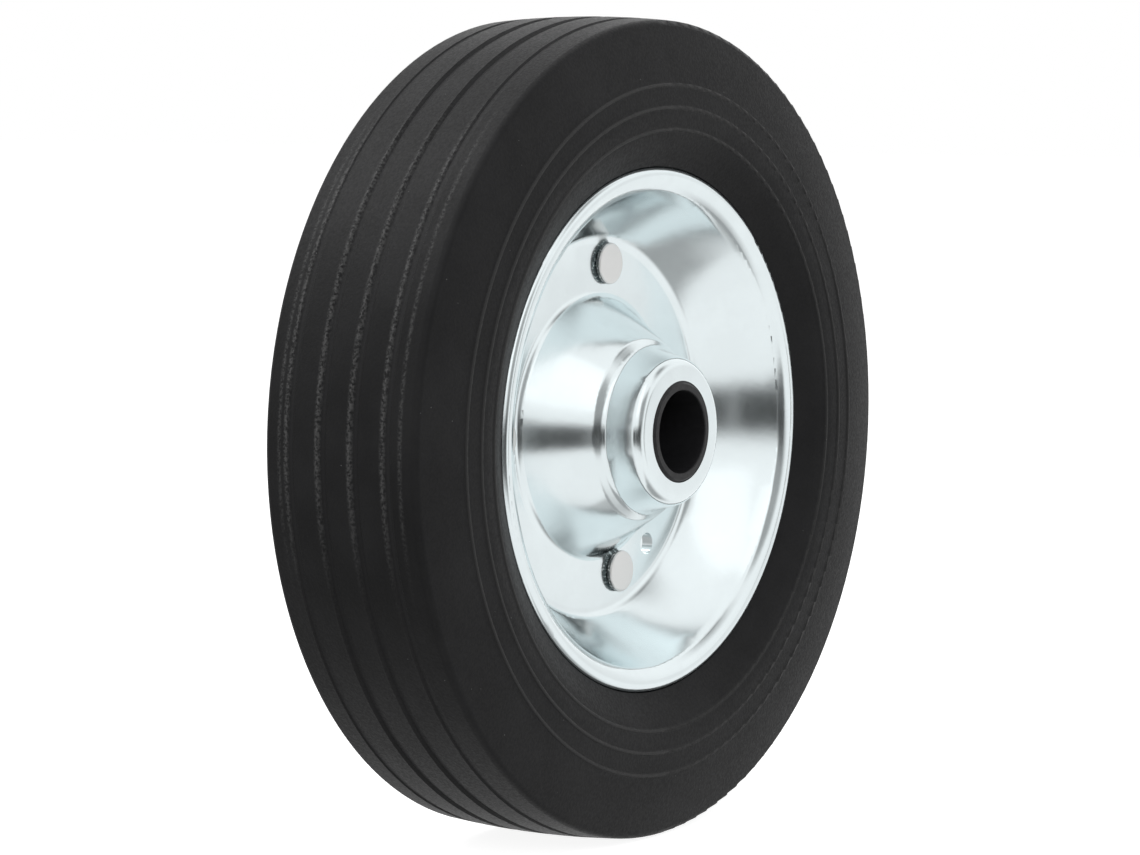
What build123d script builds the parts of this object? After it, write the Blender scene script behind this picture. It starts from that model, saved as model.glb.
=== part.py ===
from build123d import *
import math
import os

os.makedirs("parts", exist_ok=True)

# Frame: origin at the wheel centre, axle along Y, front face toward -Y, +Z up, millimetres.
# Outlines are drawn in the XY plane as (radius, distance from the mid-plane) and turned about Y.

# Tyre
tyre_radius = 100.0
tread_half_width = 21.5
tread_crown = 1.0
shoulder_rounding = 1.8
groove_count = 4
groove_pitch = 9.2
groove_width = 2.8
groove_floor_width = 1.4
groove_depth = 0.8
wall_half_width = 24.6
wall_flare_width = 8.6
wall_bulge = 0.9
wall_rounding = 14.0
wall_rounding_limit = 0.55
ring_shares = (0.011, 0.211, 0.415)
ring_width = 1.1
ring_height = 0.35
foot_depth = 12.9

# Rim halves, measured on the face that shows
sheet = 1.5
rim_radius = 63.9
rim_half_width = 20.8
rim_edge_rounding = 2.0
rim_skirt = 3.0
rim_crown_width = 2.5
rim_crown_rounding = 2.5
flange_bend_width = 4.4
flange_bend_drop = 0.6
flange_bend_rounding = 7.0
flange_width = 6.0
flange_drop = 2.0
flange_rounding = 2.0
bowl_width = 11.7
bowl_sagitta = 0.75
bowl_rounding = 3.8
web_width = 14.0
dome_rounding = 2.9
shoulder_radius = 22.2
shoulder_half_width = 16.9
dome_shoulder_rounding = 2.2
neck_radius = 20.1
neck_half_width = 18.2
neck_rounding = 2.3
collar_radius = 17.6
collar_rounding = 3.1
hub_half_length = 27.4
axle_hole_radius = 12.35

# Rivets and the small hole through both webs
rivet_angles = (8.8, 86.4, 163.9, 267.9)
rivet_pattern_rise = 1.0
rivet_shank_radius = 3.0
rivet_head_radius = 5.1
rivet_head_height = 1.6
rivet_head_rounding = 0.5
rivet_seat_rounding = 0.9
rivet_clearance = 0.05
small_hole_radius = 2.7
small_hole_angle = 142.5

# Hub tube and bearing bush
tube_wall = 2.0
tube_end_clearance = 0.05
tube_collar_clearance = 0.15
tube_chamfer = 1.0
bore_radius = 10.1
bush_tube_clearance = 0.03
bush_collar_clearance = 0.08
bush_stand_out = 0.5
bush_chamfer = 0.7
bore_chamfer = 0.2
bush_end_clearance = 0.1

# The rubber lies this close to the steel
rubber_clearance = 0.05


def turned(face):
    """Solid made by turning an outline about the axle."""
    return revolve(face, axis=Axis.Y, revolution_arc=360)


def rounded_wire(wire, corners):
    """Open outline with each named corner rounded to its own radius."""
    for corner, radius in corners:
        vertex = wire.vertices().sort_by_distance(Vector(*corner))[0]
        wire = wire.fillet_2d(radius, [vertex])
    return wire


def web_radii():
    """Inner and outer radius of the flat web between the dome and the bowl."""
    outer = rim_radius - flange_width - bowl_width
    return outer - web_width, outer


def disc_corners():
    """Corners of the showing face of a rim half, from its skirt in to the axle hole."""
    dome_foot, bowl_foot = web_radii()
    return {
        "skirt_end": (rim_radius, rim_half_width - rim_skirt),
        "rim_edge": (rim_radius, rim_half_width),
        "rim_crown": (rim_radius - rim_crown_width, rim_half_width),
        "flange_bend": (rim_radius - flange_bend_width, rim_half_width - flange_bend_drop),
        "flange_inner": (rim_radius - flange_width, rim_half_width - flange_drop),
        "bowl_foot": (bowl_foot, sheet),
        "dome_foot": (dome_foot, sheet),
        "dome_top": (shoulder_radius, shoulder_half_width),
        "neck": (neck_radius, neck_half_width),
        "collar_edge": (collar_radius, hub_half_length),
        "axle_hole": (axle_hole_radius, hub_half_length),
    }


def disc_face_line():
    """Showing face of a rim half as one open line, drawn on the +Y side."""
    corners = disc_corners()
    points = list(corners.values())
    names = list(corners)
    edges = []
    for name, start, end in zip(names, points[:-1], points[1:]):
        if name == "flange_inner":
            edges.append(SagittaArc(start, end, bowl_sagitta))
        else:
            edges.append(Line(start, end))
    roundings = (
        ("rim_edge", rim_edge_rounding),
        ("rim_crown", rim_crown_rounding),
        ("flange_bend", flange_bend_rounding),
        ("flange_inner", flange_rounding),
        ("bowl_foot", bowl_rounding),
        ("dome_foot", dome_rounding),
        ("dome_top", dome_shoulder_rounding),
        ("neck", neck_rounding),
        ("collar_edge", collar_rounding),
    )
    return rounded_wire(Wire(edges), [(corners[name], radius) for name, radius in roundings])


def web_drill(radius, angle, height, rise=0.0):
    """Cylinder along the axle direction, halfway across the web, clockwise from the top of the front."""
    turn = math.radians(angle)
    circle = sum(web_radii()) / 2
    place = Pos(circle * math.sin(turn), 0, rise + circle * math.cos(turn))
    return place * Rot(90, 0, 0) * Cylinder(radius, height)


def disc_outline():
    """Section of a rim half: the showing line thickened by the sheet."""
    return Face(disc_face_line().offset_2d(sheet, kind=Kind.ARC, side=Side.LEFT, closed=True))


def rear_disc():
    """Pressed steel half of the rim, with its rivet holes and small hole."""
    disc = turned(disc_outline())
    for angle in rivet_angles:
        disc -= web_drill(rivet_shank_radius + rivet_clearance, angle, 4 * sheet, rivet_pattern_rise)
    disc -= web_drill(small_hole_radius, small_hole_angle, 4 * sheet)
    return disc


def bowl_space():
    """Everything in front of the showing face of a rim half, where no rubber goes."""
    line = disc_face_line()
    start = line @ 0
    end = line @ 1
    outer = tyre_radius
    closing = Polyline((end.X, end.Y), (end.X, outer), (start.X, outer), (start.X, start.Y))
    return Face(Wire(line.edges() + closing.edges()))


def tyre_wall_line():
    """Wall of the tyre on the +Y side, from the rim edge out to the tread shoulder."""
    shoulder = (tyre_radius - tread_crown, tread_half_width)
    foot = (rim_radius + wall_flare_width, wall_half_width)
    rim = (rim_radius, rim_half_width - rim_edge_rounding / 2)
    return rim, foot, shoulder


def low(point):
    """The same point on the -Y side."""
    return (point[0], -point[1])


def tyre_blank():
    """Outline of the whole tyre before the rim is let into its foot."""
    rim, foot, shoulder = tyre_wall_line()
    crown = (tyre_radius, 0)
    inner = rim_radius - foot_depth
    edges = [
        Line((inner, rim[1]), rim),
        Line(rim, foot),
        SagittaArc(foot, shoulder, wall_bulge),
        ThreePointArc(shoulder, crown, low(shoulder)),
        SagittaArc(low(shoulder), low(foot), wall_bulge),
        Line(low(foot), low(rim)),
        Line(low(rim), (inner, -rim[1])),
        Line((inner, -rim[1]), (inner, rim[1])),
    ]
    outline = Wire(edges)
    foot_rounding = min(wall_rounding, wall_rounding_limit * (shoulder[0] - foot[0]))
    corners = [(shoulder, shoulder_rounding), (low(shoulder), shoulder_rounding)]
    corners += [(foot, foot_rounding), (low(foot), foot_rounding)]
    return Face(rounded_wire(outline, corners))


def groove(distance):
    """Shallow groove with sloping sides, cut into the tread at a distance from the mid-plane."""
    half = groove_width / 2
    floor_half = groove_floor_width / 2
    floor = tyre_radius - groove_depth
    top = tyre_radius + groove_depth
    slope = (half - floor_half) / groove_depth
    top_half = half + slope * groove_depth
    shape = Polyline(
        (floor, distance - floor_half),
        (floor, distance + floor_half),
        (top, distance + top_half),
        (top, distance - top_half),
        close=True,
    )
    return Face(Wire(shape.edges()))


def wall_ring(share, side):
    """Thin raised ring on a wall of the tyre, at a share of the way out from the foot of the wall."""
    rim, foot, shoulder = tyre_wall_line()
    radius = foot[0] + share * (shoulder[0] - foot[0])
    across = Edge.make_line((radius, 0), (radius, foot[1] + wall_bulge)) & tyre_blank()
    height = across.bounding_box().max.Y - ring_width / 2 + ring_height
    return Pos(radius, side * height) * Circle(ring_width / 2)


def tyre():
    """One moulding of solid rubber, held by its foot between the rim halves."""
    outline = Sketch() + -tyre_blank()
    first = -groove_pitch * (groove_count - 1) / 2
    for index in range(groove_count):
        outline -= groove(first + index * groove_pitch)
    for share in ring_shares:
        outline += wall_ring(share, 1)
        outline += wall_ring(share, -1)
    steel = offset(Sketch() + disc_outline(), amount=rubber_clearance, kind=Kind.ARC)
    space = Sketch() + bowl_space()
    for cut in (steel, space):
        outline -= cut
        outline -= mirror(cut, about=Plane.XZ)
    return turned(outline.faces().sort_by(SortBy.AREA)[-1])


def rivets():
    """Rivets through both webs, a flat round head on each side, their circle a little above the axle."""
    group = []
    rise = rivet_pattern_rise
    for angle in rivet_angles:
        blank = web_drill(rivet_head_radius, angle, 2 * (sheet + rivet_head_height), rise)
        grip = web_drill(rivet_head_radius + rivet_head_rounding, angle, 2 * sheet, rise)
        heads = blank - grip
        seats = heads.edges().filter_by(GeomType.CIRCLE).sort_by(Axis.Y)[1:3]
        heads = fillet(seats, rivet_seat_rounding)
        tops = heads.edges().filter_by(GeomType.CIRCLE).sort_by(Axis.Y)
        heads = fillet([tops[0], tops[-1]], rivet_head_rounding)
        shank = web_drill(rivet_shank_radius, angle, 2 * sheet, rise)
        group.append(heads + shank)
    return Compound(children=group)


def ring_outline(inner, outer, half_length, chamfer_inner=0.0, chamfer_outer=0.0):
    """Section of a ring about the axle, with both ends chamfered alike."""
    shape = Pos((inner + outer) / 2, 0) * Rectangle(outer - inner, 2 * half_length)
    inner_corners = shape.vertices().sort_by(Axis.X)[:2]
    if chamfer_inner:
        shape = chamfer(inner_corners, chamfer_inner)
    if chamfer_outer:
        shape = chamfer(shape.vertices().sort_by(Axis.X)[-2:], chamfer_outer)
    return shape


def hub_tube():
    """Steel tube between the two hub collars."""
    outer = collar_radius - sheet - tube_collar_clearance
    half_length = hub_half_length - sheet - tube_end_clearance
    return turned(ring_outline(outer - tube_wall, outer, half_length, 0.0, tube_chamfer))


def bearing_bush():
    """Plastic bush: a barrel inside the tube and a nose that stands out of each collar."""
    tube_inner = collar_radius - sheet - tube_collar_clearance - tube_wall
    barrel_half_length = hub_half_length - sheet - bush_end_clearance
    nose_radius = axle_hole_radius - bush_collar_clearance
    barrel = ring_outline(bore_radius, tube_inner - bush_tube_clearance, barrel_half_length)
    nose_half_length = hub_half_length + bush_stand_out
    nose = ring_outline(bore_radius, nose_radius, nose_half_length, bore_chamfer, bush_chamfer)
    return turned(nose) + turned(barrel)


def build():
    """Every piece of the wheel by name."""
    rear = rear_disc()
    return {
        "tyre": tyre(),
        "front_disc": mirror(rear, about=Plane.XZ),
        "rear_disc": rear,
        "rivets": rivets(),
        "hub_tube": hub_tube(),
        "bearing_bush": bearing_bush(),
    }


for name, shape in build().items():
    export_step(shape, f"parts/{name}.step")
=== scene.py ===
import math

import bpy
from mathutils import Matrix, Vector


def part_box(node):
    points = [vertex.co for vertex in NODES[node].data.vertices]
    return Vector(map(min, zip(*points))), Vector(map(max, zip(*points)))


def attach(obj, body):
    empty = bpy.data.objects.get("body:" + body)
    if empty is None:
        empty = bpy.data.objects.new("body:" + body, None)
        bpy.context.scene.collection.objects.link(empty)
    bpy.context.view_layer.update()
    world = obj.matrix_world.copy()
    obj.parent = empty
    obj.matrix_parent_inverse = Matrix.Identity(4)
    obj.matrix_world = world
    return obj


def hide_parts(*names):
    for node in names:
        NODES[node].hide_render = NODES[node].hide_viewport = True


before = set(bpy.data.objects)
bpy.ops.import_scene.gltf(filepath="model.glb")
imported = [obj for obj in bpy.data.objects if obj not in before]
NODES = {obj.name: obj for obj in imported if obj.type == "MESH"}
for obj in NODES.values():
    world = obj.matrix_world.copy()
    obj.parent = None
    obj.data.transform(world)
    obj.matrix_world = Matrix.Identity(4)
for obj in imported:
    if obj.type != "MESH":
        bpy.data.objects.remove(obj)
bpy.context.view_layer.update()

# Camera, fitted to the photograph
IMAGE_WIDTH_PX = 1140
CAMERA_AZIMUTH = math.radians(-55.27)
CAMERA_ELEVATION = math.radians(5.05)
CAMERA_DISTANCE = 1.044
FOCAL_PX = 4259.0
WHEEL_RIGHT_OF_CENTRE_PX = 17.45
WHEEL_BELOW_CENTRE_PX = -1.35
SENSOR_MM = 36.0
CLIP_NEAR = 0.01
CLIP_FAR = 50.0

# Floor, in metres and shares of plain white
FLOOR_HALF = 6.0
FLOOR_COLOUR = (0.55, 0.55, 0.55, 1)
FLOOR_GLOW = 0.9

# World: its level to gloss below and above two elevations in degrees, and to diffuse surfaces
WORLD_RISE = (-20.0, 50.0)
WORLD_LEVELS = (0.96, 1.02)
AMBIENT = 0.4
# Zones that gloss sees: azimuth from and to, elevation from and to, in degrees, with azimuth 0
# toward -Y, the softness of their sides, and the share of the light that is left there
ZONES = (
    ((-75.0, -53.0, -17.5, 5.0), 5.0, 0.06),
    ((-53.0, -4.0, -16.5, 4.5), 5.0, 0.08),
    ((-30.0, 6.0, -2.0, 36.0), 7.0, 0.38),
    ((25.0, 34.1, -11.4, 10.5), 3.8, 0.38),
    ((-11.0, 65.4, -80.0, -46.0), 11.0, 0.4),
    ((20.7, 50.1, 38.4, 58.0), 12.0, 0.25),
    ((-60.4, -27.4, 19.3, 66.4), 4.6, 1.2),
    ((-170.0, -86.1, -70.0, 13.0), 15.0, 0.48),
    ((33.5, 78.0, -5.4, 14.2), 5.7, 0.90),
    ((88.0, 135.0, -30.0, 45.0), 9.0, 1.6),
)

# Softboxes: name, azimuth, elevation, power, and whether gloss shows it
SOFTBOX_DISTANCE = 1.6
SOFTBOX_SIDE = 1.0
SOFTBOXES = (
    ("key", -40.0, 30.0, 14.0, False),
    ("above", -90.0, 74.0, 14.5, False),
    ("rear_left", -155.0, 52.0, 6.0, True),
)

# Face corners closer than 0.002 mm are at one place, and lean the same way within about 15 degrees
SEAM_SCALE = 500000
SAME_SURFACE = math.cos(math.radians(15.0))

# Rubber colours, linear
TREAD_DARK = (0.0058, 0.0058, 0.0061, 1)
TREAD_PALE = (0.0105, 0.0105, 0.0110, 1)
WALL_DARK = (0.006, 0.006, 0.0064, 1)
WALL_PALE = (0.010, 0.010, 0.0105, 1)
# Painted fill light: the grooves' paler colour lifts the shade that falls in them
GROOVE_FILL_LIGHT = (0.013, 0.013, 0.0135, 1)
# Painted highlight on the tops of the wall rings
RING_HIGHLIGHT = (0.028, 0.028, 0.028, 1)
# Painted highlight on the grooves' rear edges and beside the tread's edges
EDGE_HIGHLIGHT = (0.065, 0.065, 0.065, 1)
SPECK = (0.10, 0.10, 0.10, 1)

# Steel and plastic colours, linear
ZINC = (0.80, 0.87, 0.885, 1)
TUBE = (0.55, 0.56, 0.57, 1)
PALE_PATCHES = 1.04
RIVET = (0.74, 0.74, 0.73, 1)
RIVET_PALE = (0.84, 0.84, 0.83, 1)
# Painted shade on the rivet heads' flanks
RIVET_FLANK_SHADE = (0.14, 0.15, 0.15, 1)
BUSH_DARK = (0.006, 0.006, 0.0065, 1)
BUSH_PALE = (0.010, 0.010, 0.011, 1)
BUSH_SCUFFED = (0.018, 0.018, 0.019, 1)

# Noise patterns: scale per metre, detail, and roughness of the pattern
RUBBER_GRAIN = (1400.0, 4.0, 0.6)
RUBBER_PATCHES = (45.0, 4.0, 0.6)
RUBBER_RAGGED = (1500.0, 3.0, 0.6)
ZINC_MOTTLE = (75.0, 5.0, 0.6)
ZINC_PEEL = (180.0, 3.0, 0.55)
ZINC_FINE = (1500.0, 2.0, 0.55)
RIVET_MOTTLE = (260.0, 4.0, 0.6)
RIVET_TORN = (1500.0, 3.0, 0.7)
BUSH_GRAIN = (700.0, 3.0, 0.55)
BUSH_SCUFF = (1600.0, 3.0, 0.7)

# Part of a noise pattern's range over which its effect goes from none to all
PATTERN_SPAN = (0.3, 0.7)
PATCH_SPAN = (0.3, 0.72)
RAGGED_SPAN = (0.36, 0.66)
MOTTLE_SPAN = (0.35, 0.65)
# Painted glints on the rivet flanks
GLINT_SPAN = (0.56, 0.62)
SCUFF_SPAN = (0.35, 0.7)

# Specks: cells per metre, where a speck fades in its cell, and the cell colours that hold one
SPECK_CELLS = 330.0
SPECK_EDGE = (0.02, 0.06)
SPECK_RARE = (0.82, 0.86)

# Roughness of the finishes, from the smooth to the rough part of their pattern
RUBBER_ROUGH = (0.48, 0.62)
RIVET_ROUGH = (0.34, 0.46)
BUSH_ROUGH = (0.4, 0.52)
ZINC_ROUGH = 0.16
TUBE_ROUGH = 0.4
ROUGH_SPREAD = (0.88, 1.15)

# Specular level: of the rubber's wall and tread, as greys, and of the plastic
WALL_SHINE = (0.17, 0.17, 0.17, 1)
TREAD_SHINE = (0.18, 0.18, 0.18, 1)
BUSH_SHINE = 0.3

# Strength and height in metres of the relief in each finish
RUBBER_RELIEF = (0.4, 0.0002)
RIVET_RELIEF = (0.5, 0.0004)
BUSH_RELIEF = (0.2, 0.0002)
ZINC_RELIEF = (0.05, 0.0004)
TUBE_RELIEF = (0.1, 0.0004)

# Height in the relief of one pattern beside another, which has 1
# Relief of the lines that carry the painted edge highlight
EDGE_HIGHLIGHT_HEIGHT = 0.8
SPECK_HEIGHT = 2.0
FINE_HEIGHT = 0.05
MOTTLE_HEIGHT = 0.3

# Tread: where it begins, from the axle and from the mid-plane, as soft ranges in metres
TREAD_RADIUS = (0.0965, 0.0975)
TREAD_EDGE = (0.0195, 0.0202)

# Grooves: distance of their middles from the mid-plane, half their width, half the width of the
# painted highlight on their rear edges
GROOVES = (-0.0138, -0.0046, 0.0046, 0.0138)
GROOVE_HALF = 0.0014
GROOVE_EDGE = 0.0010

# Painted highlight line beside the tread's front and back edges, its half width and how strong it is
SIDE_LINE = 0.0172
SIDE_LINE_HALF = 0.0009
SIDE_LINE_SHARE = 0.6

# Stretches of the tread where these painted highlights show, where light falls on it: how many, where
# the first is, how they fade
HIGHLIGHT_STRETCHES = 3
HIGHLIGHT_TURN = 5.34
HIGHLIGHT_FADE = (-0.5, 0.7, 0.05, 1.0)

# Raised rings on the walls: radius of their middles and half the width painted paler as a highlight
WALL_RINGS = (0.0728, 0.0781, 0.0835)
RING_HALF = 0.0009

# Height of the rivet heads from the mid-plane, and how far below it their flanks begin
RIVET_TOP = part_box("rivets")[1].y
RIVET_FLANK_START = (0.0005, 0.0002)

# Distance from the mid-plane beyond which the bush is scuffed
BUSH_END = (0.0271, 0.0275)


def camera_axes(azimuth, elevation):
    """Right, up and back of a camera that looks along +Y at azimuth 0."""
    back = Vector(
        (
            math.sin(azimuth) * math.cos(elevation),
            -math.cos(azimuth) * math.cos(elevation),
            math.sin(elevation),
        )
    )
    right = Vector((math.cos(azimuth), math.sin(azimuth), 0.0))
    return right, back.cross(right), back


def place_facing(thing, place, axes):
    """Puts a camera or lamp at a place, with its right, up and back along the axes."""
    turn = Matrix(axes).transposed().to_4x4()
    thing.matrix_world = Matrix.Translation(place) @ turn
    bpy.context.scene.collection.objects.link(thing)


def add_camera():
    """Camera at the photograph's viewing angle and distance."""
    right, up, back = camera_axes(CAMERA_AZIMUTH, CAMERA_ELEVATION)
    metres_per_px = CAMERA_DISTANCE / FOCAL_PX
    place = back * CAMERA_DISTANCE
    place -= right * (WHEEL_RIGHT_OF_CENTRE_PX * metres_per_px)
    place += up * (WHEEL_BELOW_CENTRE_PX * metres_per_px)
    data = bpy.data.cameras.new("camera")
    data.sensor_width = SENSOR_MM
    data.lens = FOCAL_PX / IMAGE_WIDTH_PX * SENSOR_MM
    data.clip_start = CLIP_NEAR
    data.clip_end = CLIP_FAR
    camera = bpy.data.objects.new("camera", data)
    place_facing(camera, place, (right, up, back))
    bpy.context.scene.camera = camera


class Graph:
    """Short hand for building a material's or the world's nodes."""

    def __init__(self, tree):
        self.tree = tree
        tree.nodes.clear()

    def node(self, kind, **settings):
        made = self.tree.nodes.new(kind)
        for name, value in settings.items():
            setattr(made, name, value)
        return made

    def link(self, source, target):
        self.tree.links.new(source, target)

    def put(self, socket, value):
        """Sets a socket, or links it where the value is another socket."""
        if isinstance(value, bpy.types.NodeSocket):
            self.link(value, socket)
        else:
            socket.default_value = value

    def math(self, operation, a, b=0.0):
        made = self.node("ShaderNodeMath", operation=operation)
        self.put(made.inputs[0], a)
        self.put(made.inputs[1], b)
        return made.outputs[0]

    def add(self, a, b):
        return self.math("ADD", a, b)

    def times(self, a, b):
        return self.math("MULTIPLY", a, b)

    def size(self, value):
        """The value without its sign."""
        return self.math("ABSOLUTE", value)

    def mix_value(self, share, a, b):
        """A number that goes from a to b as share goes from 0 to 1."""
        return self.add(self.times(share, self.math("SUBTRACT", b, a)), a)

    def mix(self, share, a, b):
        """Colour a where share is 0, b where it is 1."""
        made = self.node("ShaderNodeMix", data_type="RGBA")
        self.put(made.inputs[0], share)
        self.put(made.inputs[6], a)
        self.put(made.inputs[7], b)
        return made.outputs[2]

    def noise(self, where, pattern):
        """Noise of a pattern: scale, detail and roughness."""
        made = self.node("ShaderNodeTexNoise")
        self.put(made.inputs["Vector"], where)
        for name, number in zip(("Scale", "Detail", "Roughness"), pattern):
            made.inputs[name].default_value = number
        return made.outputs[0]

    def span(self, value, low, high, to_low=0.0, to_high=1.0):
        """Maps low..high of a value softly to to_low..to_high, held outside."""
        made = self.node("ShaderNodeMapRange", clamp=True)
        made.interpolation_type = "SMOOTHSTEP"
        self.put(made.inputs[0], value)
        for index, number in zip((1, 2, 3, 4), (low, high, to_low, to_high)):
            made.inputs[index].default_value = number
        return made.outputs[0]

    def relief(self, shader, height, strength_and_height):
        """Gives a shader the relief of a pattern."""
        made = self.node("ShaderNodeBump")
        strength, distance = strength_and_height
        made.inputs["Strength"].default_value = strength
        made.inputs["Distance"].default_value = distance
        self.put(made.inputs["Height"], height)
        self.link(made.outputs[0], shader.inputs["Normal"])


def new_material(name):
    """A material with a Principled shader, its graph, and the object's own coordinates."""
    material = bpy.data.materials.new(name)
    material.use_nodes = True
    graph = Graph(material.node_tree)
    output = graph.node("ShaderNodeOutputMaterial")
    shader = graph.node("ShaderNodeBsdfPrincipled")
    graph.link(shader.outputs[0], output.inputs[0])
    where = graph.node("ShaderNodeTexCoord").outputs["Object"]
    return material, graph, shader, where


def axes_of(graph, where):
    """The three numbers of a place or direction."""
    parts = graph.node("ShaderNodeSeparateXYZ")
    graph.link(where, parts.inputs[0])
    return parts.outputs


def near(graph, value, centre, half_width):
    """1 at a value, falling softly to 0 at half_width away."""
    off = graph.size(graph.math("SUBTRACT", value, centre))
    return graph.span(off, 0.0, half_width, 1.0, 0.0)


def near_any(graph, value, centres, half_width):
    """The same for several values, which lie more than a width apart."""
    total = near(graph, value, centres[0], half_width)
    for centre in centres[1:]:
        total = graph.add(total, near(graph, value, centre, half_width))
    return total


def edge_highlights(graph, where, along, turn, on_tread):
    """Painted highlight: ragged pale lines on the grooves' rear edges and beside the tread's edges,
    in the stretches where light falls.
    """
    edges = near_any(graph, along, [centre + GROOVE_HALF for centre in GROOVES], GROOVE_EDGE)
    side_line = near(graph, graph.size(along), SIDE_LINE, SIDE_LINE_HALF)
    lines = graph.add(edges, graph.times(side_line, SIDE_LINE_SHARE))
    around = graph.math("SINE", graph.add(graph.times(turn, HIGHLIGHT_STRETCHES), HIGHLIGHT_TURN))
    lines = graph.times(lines, graph.span(around, *HIGHLIGHT_FADE))
    ragged = graph.span(graph.noise(where, RUBBER_RAGGED), *RAGGED_SPAN)
    return graph.times(graph.times(lines, on_tread), ragged)


def specks(graph, where):
    """A few small round specks of dust."""
    cells = graph.node("ShaderNodeTexVoronoi")
    graph.put(cells.inputs["Vector"], where)
    cells.inputs["Scale"].default_value = SPECK_CELLS
    rare = graph.node("ShaderNodeSeparateColor")
    graph.link(cells.outputs["Color"], rare.inputs[0])
    dot = graph.span(cells.outputs["Distance"], *SPECK_EDGE, 1.0, 0.0)
    return graph.times(dot, graph.span(rare.outputs[0], *SPECK_RARE))


def rubber():
    """Black moulded rubber: a tread whose ragged groove edges carry a painted highlight and whose
    grooves are paler as painted fill light, walls whose rings are paler as a painted highlight, dust
    specks.
    """
    material, graph, shader, where = new_material("tyre_rubber")
    x, along, z = axes_of(graph, where)
    radius = graph.math("SQRT", graph.add(graph.times(x, x), graph.times(z, z)))
    turn = graph.math("ARCTAN2", x, z)
    inside_edges = graph.span(graph.size(along), *TREAD_EDGE, 1.0, 0.0)
    on_tread = graph.times(graph.span(radius, *TREAD_RADIUS), inside_edges)
    # Mask of the painted highlight on the groove and tread edges
    wear_and_highlight = edge_highlights(graph, where, along, turn, on_tread)
    speck = specks(graph, where)
    grain = graph.noise(where, RUBBER_GRAIN)
    patches = graph.span(graph.noise(where, RUBBER_PATCHES), *PATCH_SPAN)
    wall = graph.mix(patches, WALL_DARK, WALL_PALE)
    tread = graph.mix(patches, TREAD_DARK, TREAD_PALE)
    colour = graph.mix(on_tread, wall, tread)
    # Painted fill light: paler grooves that lift the shade in them
    colour = graph.mix(near_any(graph, along, GROOVES, GROOVE_HALF), colour, GROOVE_FILL_LIGHT)
    # Painted highlight: the wall rings' tops paler
    colour = graph.mix(near_any(graph, radius, WALL_RINGS, RING_HALF), colour, RING_HIGHLIGHT)
    # Painted highlight on the groove and tread edges, in the lit stretches
    colour = graph.mix(wear_and_highlight, colour, EDGE_HIGHLIGHT)
    colour = graph.mix(speck, colour, SPECK)
    graph.put(shader.inputs["Base Color"], colour)
    graph.put(shader.inputs["Roughness"], graph.span(grain, *PATTERN_SPAN, *RUBBER_ROUGH))
    graph.put(shader.inputs["Specular IOR Level"], graph.mix(on_tread, WALL_SHINE, TREAD_SHINE))
    height = graph.add(grain, graph.times(wear_and_highlight, EDGE_HIGHLIGHT_HEIGHT))
    height = graph.add(height, graph.times(speck, SPECK_HEIGHT))
    graph.relief(shader, height, RUBBER_RELIEF)
    return material


def zinc(name, colour, rough, strength_and_height):
    """Zinc plating over steel: a faint mottle in colour and shine, and a soft orange peel."""
    material, graph, shader, where = new_material(name)
    mottle = graph.noise(where, ZINC_MOTTLE)
    pale = tuple(min(1.0, c * PALE_PATCHES) for c in colour[:3]) + (1,)
    roughness = graph.span(mottle, *PATTERN_SPAN, *(rough * share for share in ROUGH_SPREAD))
    graph.put(shader.inputs["Base Color"], graph.mix(graph.span(mottle, *MOTTLE_SPAN), colour, pale))
    graph.put(shader.inputs["Roughness"], roughness)
    shader.inputs["Metallic"].default_value = 1.0
    peel = graph.noise(where, ZINC_PEEL)
    fine = graph.noise(where, ZINC_FINE)
    graph.relief(shader, graph.add(peel, graph.times(fine, FINE_HEIGHT)), strength_and_height)
    return material


def rivet_steel():
    """Dull zinc on the rivet heads, their torn flanks painted dark as shade, with pale specks on them
    as painted glints.
    """
    material, graph, shader, where = new_material("rivet_steel")
    along = axes_of(graph, where)[1]
    mottle = graph.noise(where, RIVET_MOTTLE)
    torn = graph.noise(where, RIVET_TORN)
    low, high = (RIVET_TOP - start for start in RIVET_FLANK_START)
    flank = graph.span(graph.size(along), low, high, 1.0, 0.0)
    # Painted glints: pale specks on the flanks
    flank_glint = graph.times(flank, graph.span(torn, *GLINT_SPAN))
    colour = graph.mix(mottle, RIVET, RIVET_PALE)
    # Painted shade: the flanks darkened
    colour = graph.mix(flank, colour, RIVET_FLANK_SHADE)
    colour = graph.mix(flank_glint, colour, RIVET_PALE)
    graph.put(shader.inputs["Base Color"], colour)
    graph.put(shader.inputs["Roughness"], graph.span(mottle, *PATTERN_SPAN, *RIVET_ROUGH))
    shader.inputs["Metallic"].default_value = 1.0
    height = graph.add(graph.times(mottle, MOTTLE_HEIGHT), graph.times(flank, torn))
    graph.relief(shader, height, RIVET_RELIEF)
    return material


def plastic():
    """Black moulded plastic of the bush, its rubbed end a little paler."""
    material, graph, shader, where = new_material("bush_plastic")
    along = axes_of(graph, where)[1]
    grain = graph.noise(where, BUSH_GRAIN)
    scuff = graph.noise(where, BUSH_SCUFF)
    at_end = graph.span(graph.size(along), *BUSH_END)
    wear_and_highlight = graph.times(at_end, graph.span(scuff, *SCUFF_SPAN))
    colour = graph.mix(wear_and_highlight, graph.mix(grain, BUSH_DARK, BUSH_PALE), BUSH_SCUFFED)
    graph.put(shader.inputs["Base Color"], colour)
    graph.put(shader.inputs["Roughness"], graph.span(grain, *PATTERN_SPAN, *BUSH_ROUGH))
    shader.inputs["Specular IOR Level"].default_value = BUSH_SHINE
    graph.relief(shader, graph.add(grain, scuff), BUSH_RELIEF)
    return material


def dress(node, material):
    """Gives a CAD node its material."""
    for slot in NODES[node].material_slots:
        slot.material = material


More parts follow.
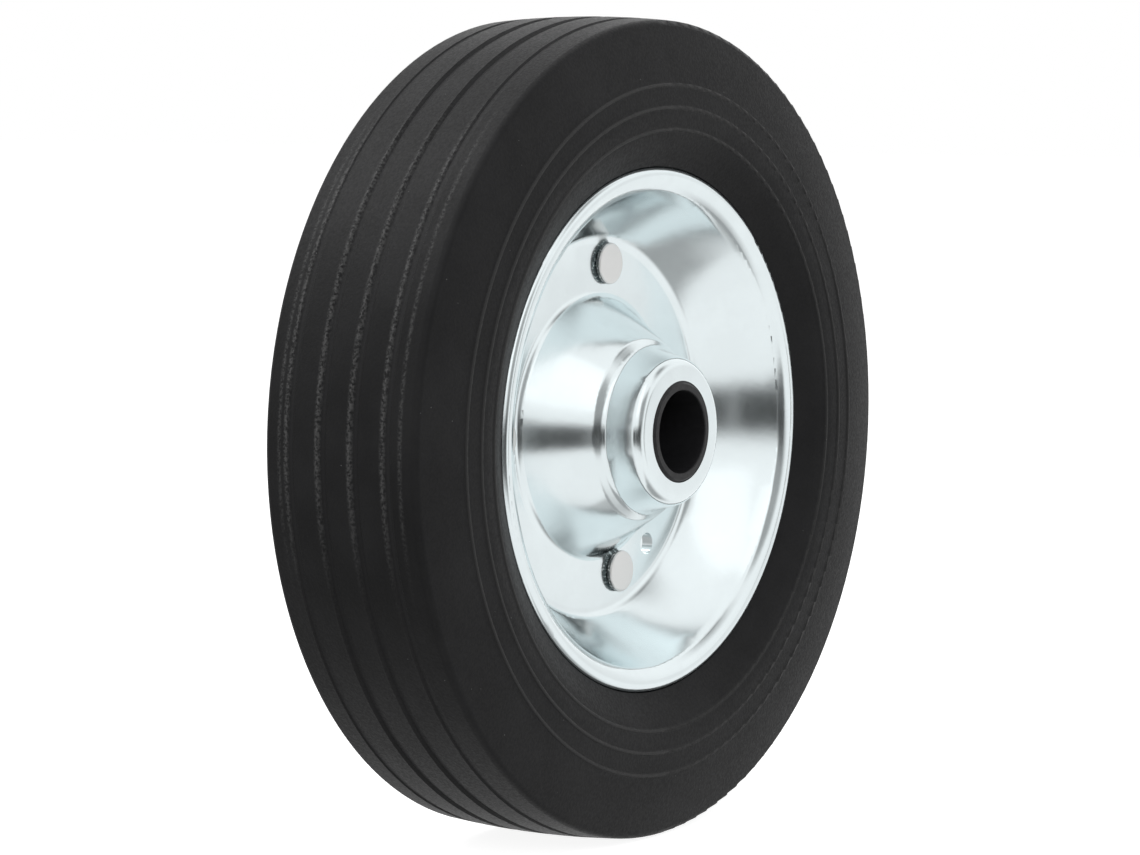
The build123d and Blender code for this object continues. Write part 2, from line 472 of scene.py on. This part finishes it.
def corner_key(mesh, loop):
    """Place of a face corner, rounded so that the two sides of a seam agree."""
    return tuple(round(c * SEAM_SCALE) for c in mesh.vertices[loop.vertex_index].co)


def seamless_normals(mesh):
    """Normals of every face corner, each averaged with those at its place that lean the same way."""
    own = [Vector(n.vector) for n in mesh.corner_normals]
    meeting = {}
    for loop in mesh.loops:
        meeting.setdefault(corner_key(mesh, loop), []).append(own[loop.index])
    merged = []
    for loop in mesh.loops:
        normal = own[loop.index]
        total = Vector()
        for other in meeting[corner_key(mesh, loop)]:
            if normal.dot(other) > SAME_SURFACE:
                total += other
        merged.append(total.normalized())
    return merged


def seamless_copy(node, material):
    """Stands in for a turned CAD node, with the same faces but no seam in the shine."""
    mesh = NODES[node].data.copy()
    mesh.normals_split_custom_set(seamless_normals(mesh))
    mesh.materials.clear()
    mesh.materials.append(material)
    piece = bpy.data.objects.new(node + "_polished", mesh)
    bpy.context.scene.collection.objects.link(piece)
    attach(piece, "root")
    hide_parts(node)


def seen_background(graph):
    """1 for rays that show the background: from the camera, from gloss and through glass."""
    path = graph.node("ShaderNodeLightPath").outputs
    gloss = graph.math("MAXIMUM", path["Is Glossy Ray"], path["Is Transmission Ray"])
    return graph.math("MAXIMUM", path["Is Camera Ray"], gloss)


def floor_material():
    """Pale grey that glows to near white where it is the background, and keeps the wheel's shadow."""
    material = bpy.data.materials.new("floor")
    material.use_nodes = True
    graph = Graph(material.node_tree)
    output = graph.node("ShaderNodeOutputMaterial")
    diffuse = graph.node("ShaderNodeBsdfDiffuse")
    diffuse.inputs[0].default_value = FLOOR_COLOUR
    glow = graph.node("ShaderNodeEmission")
    graph.put(glow.inputs[1], graph.times(seen_background(graph), FLOOR_GLOW))
    both = graph.node("ShaderNodeAddShader")
    graph.link(diffuse.outputs[0], both.inputs[0])
    graph.link(glow.outputs[0], both.inputs[1])
    graph.link(both.outputs[0], output.inputs[0])
    return material


def add_floor():
    """Floor that the wheel stands on. The metal mirrors the world's lower half in its place."""
    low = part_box("tyre")[0].z
    signs = ((-1, -1), (1, -1), (1, 1), (-1, 1))
    corners = [(a * FLOOR_HALF, b * FLOOR_HALF, low) for a, b in signs]
    mesh = bpy.data.meshes.new("floor")
    mesh.from_pydata(corners, [], [(0, 1, 2, 3)])
    mesh.materials.append(floor_material())
    floor = bpy.data.objects.new("floor", mesh)
    bpy.context.scene.collection.objects.link(floor)
    floor.visible_glossy = False


def zone_share(graph, azimuth, elevation, box, soft):
    """1 inside a range of directions in degrees, 0 outside, with soft sides."""
    left, right, low, high = box
    inside = graph.span(azimuth, left - soft, left + soft)
    inside = graph.times(inside, graph.span(azimuth, right - soft, right + soft, 1.0, 0.0))
    inside = graph.times(inside, graph.span(elevation, low - soft, low + soft))
    return graph.times(inside, graph.span(elevation, high - soft, high + soft, 1.0, 0.0))


def add_world():
    """Soft white studio with a few dim zones, which the metal mirrors; plain white to the camera."""
    world = bpy.data.worlds.new("studio")
    bpy.context.scene.world = world
    world.use_nodes = True
    world.cycles.sampling_method = "NONE"
    graph = Graph(world.node_tree)
    output = graph.node("ShaderNodeOutputWorld")
    x, y, z = axes_of(graph, graph.node("ShaderNodeTexCoord").outputs["Generated"])
    azimuth = graph.math("DEGREES", graph.math("ARCTAN2", x, graph.times(y, -1.0)))
    elevation = graph.math("DEGREES", graph.math("ARCSINE", z))
    level = graph.span(elevation, *WORLD_RISE, *WORLD_LEVELS)
    for box, soft, left_there in ZONES:
        taken = graph.times(zone_share(graph, azimuth, elevation, box, soft), 1.0 - left_there)
        level = graph.times(level, graph.math("SUBTRACT", 1.0, taken))
    path = graph.node("ShaderNodeLightPath").outputs
    level = graph.mix_value(path["Is Diffuse Ray"], level, AMBIENT)
    level = graph.mix_value(path["Is Camera Ray"], level, 1.0)
    background = graph.node("ShaderNodeBackground")
    background.inputs[0].default_value = (1, 1, 1, 1)
    graph.put(background.inputs[1], level)
    graph.link(background.outputs[0], output.inputs[0])


def add_softbox(name, azimuth, elevation, power, in_gloss):
    """Square area lamp aimed at the wheel from a direction in degrees."""
    data = bpy.data.lights.new(name, "AREA")
    data.shape = "SQUARE"
    data.size = SOFTBOX_SIDE
    data.energy = power
    axes = camera_axes(math.radians(azimuth), math.radians(elevation))
    lamp = bpy.data.objects.new(name, data)
    lamp.visible_glossy = in_gloss
    place_facing(lamp, axes[2] * SOFTBOX_DISTANCE, axes)


bpy.context.scene.view_settings.view_transform = "Standard"
add_camera()

dress("tyre", rubber())
bright_zinc = zinc("zinc_plated_steel", ZINC, ZINC_ROUGH, ZINC_RELIEF)
seamless_copy("front_disc", bright_zinc)
seamless_copy("rear_disc", bright_zinc)
dress("rivets", rivet_steel())
dress("hub_tube", zinc("tube_steel", TUBE, TUBE_ROUGH, TUBE_RELIEF))
dress("bearing_bush", plastic())
add_floor()
add_world()
for softbox in SOFTBOXES:
    add_softbox(*softbox)
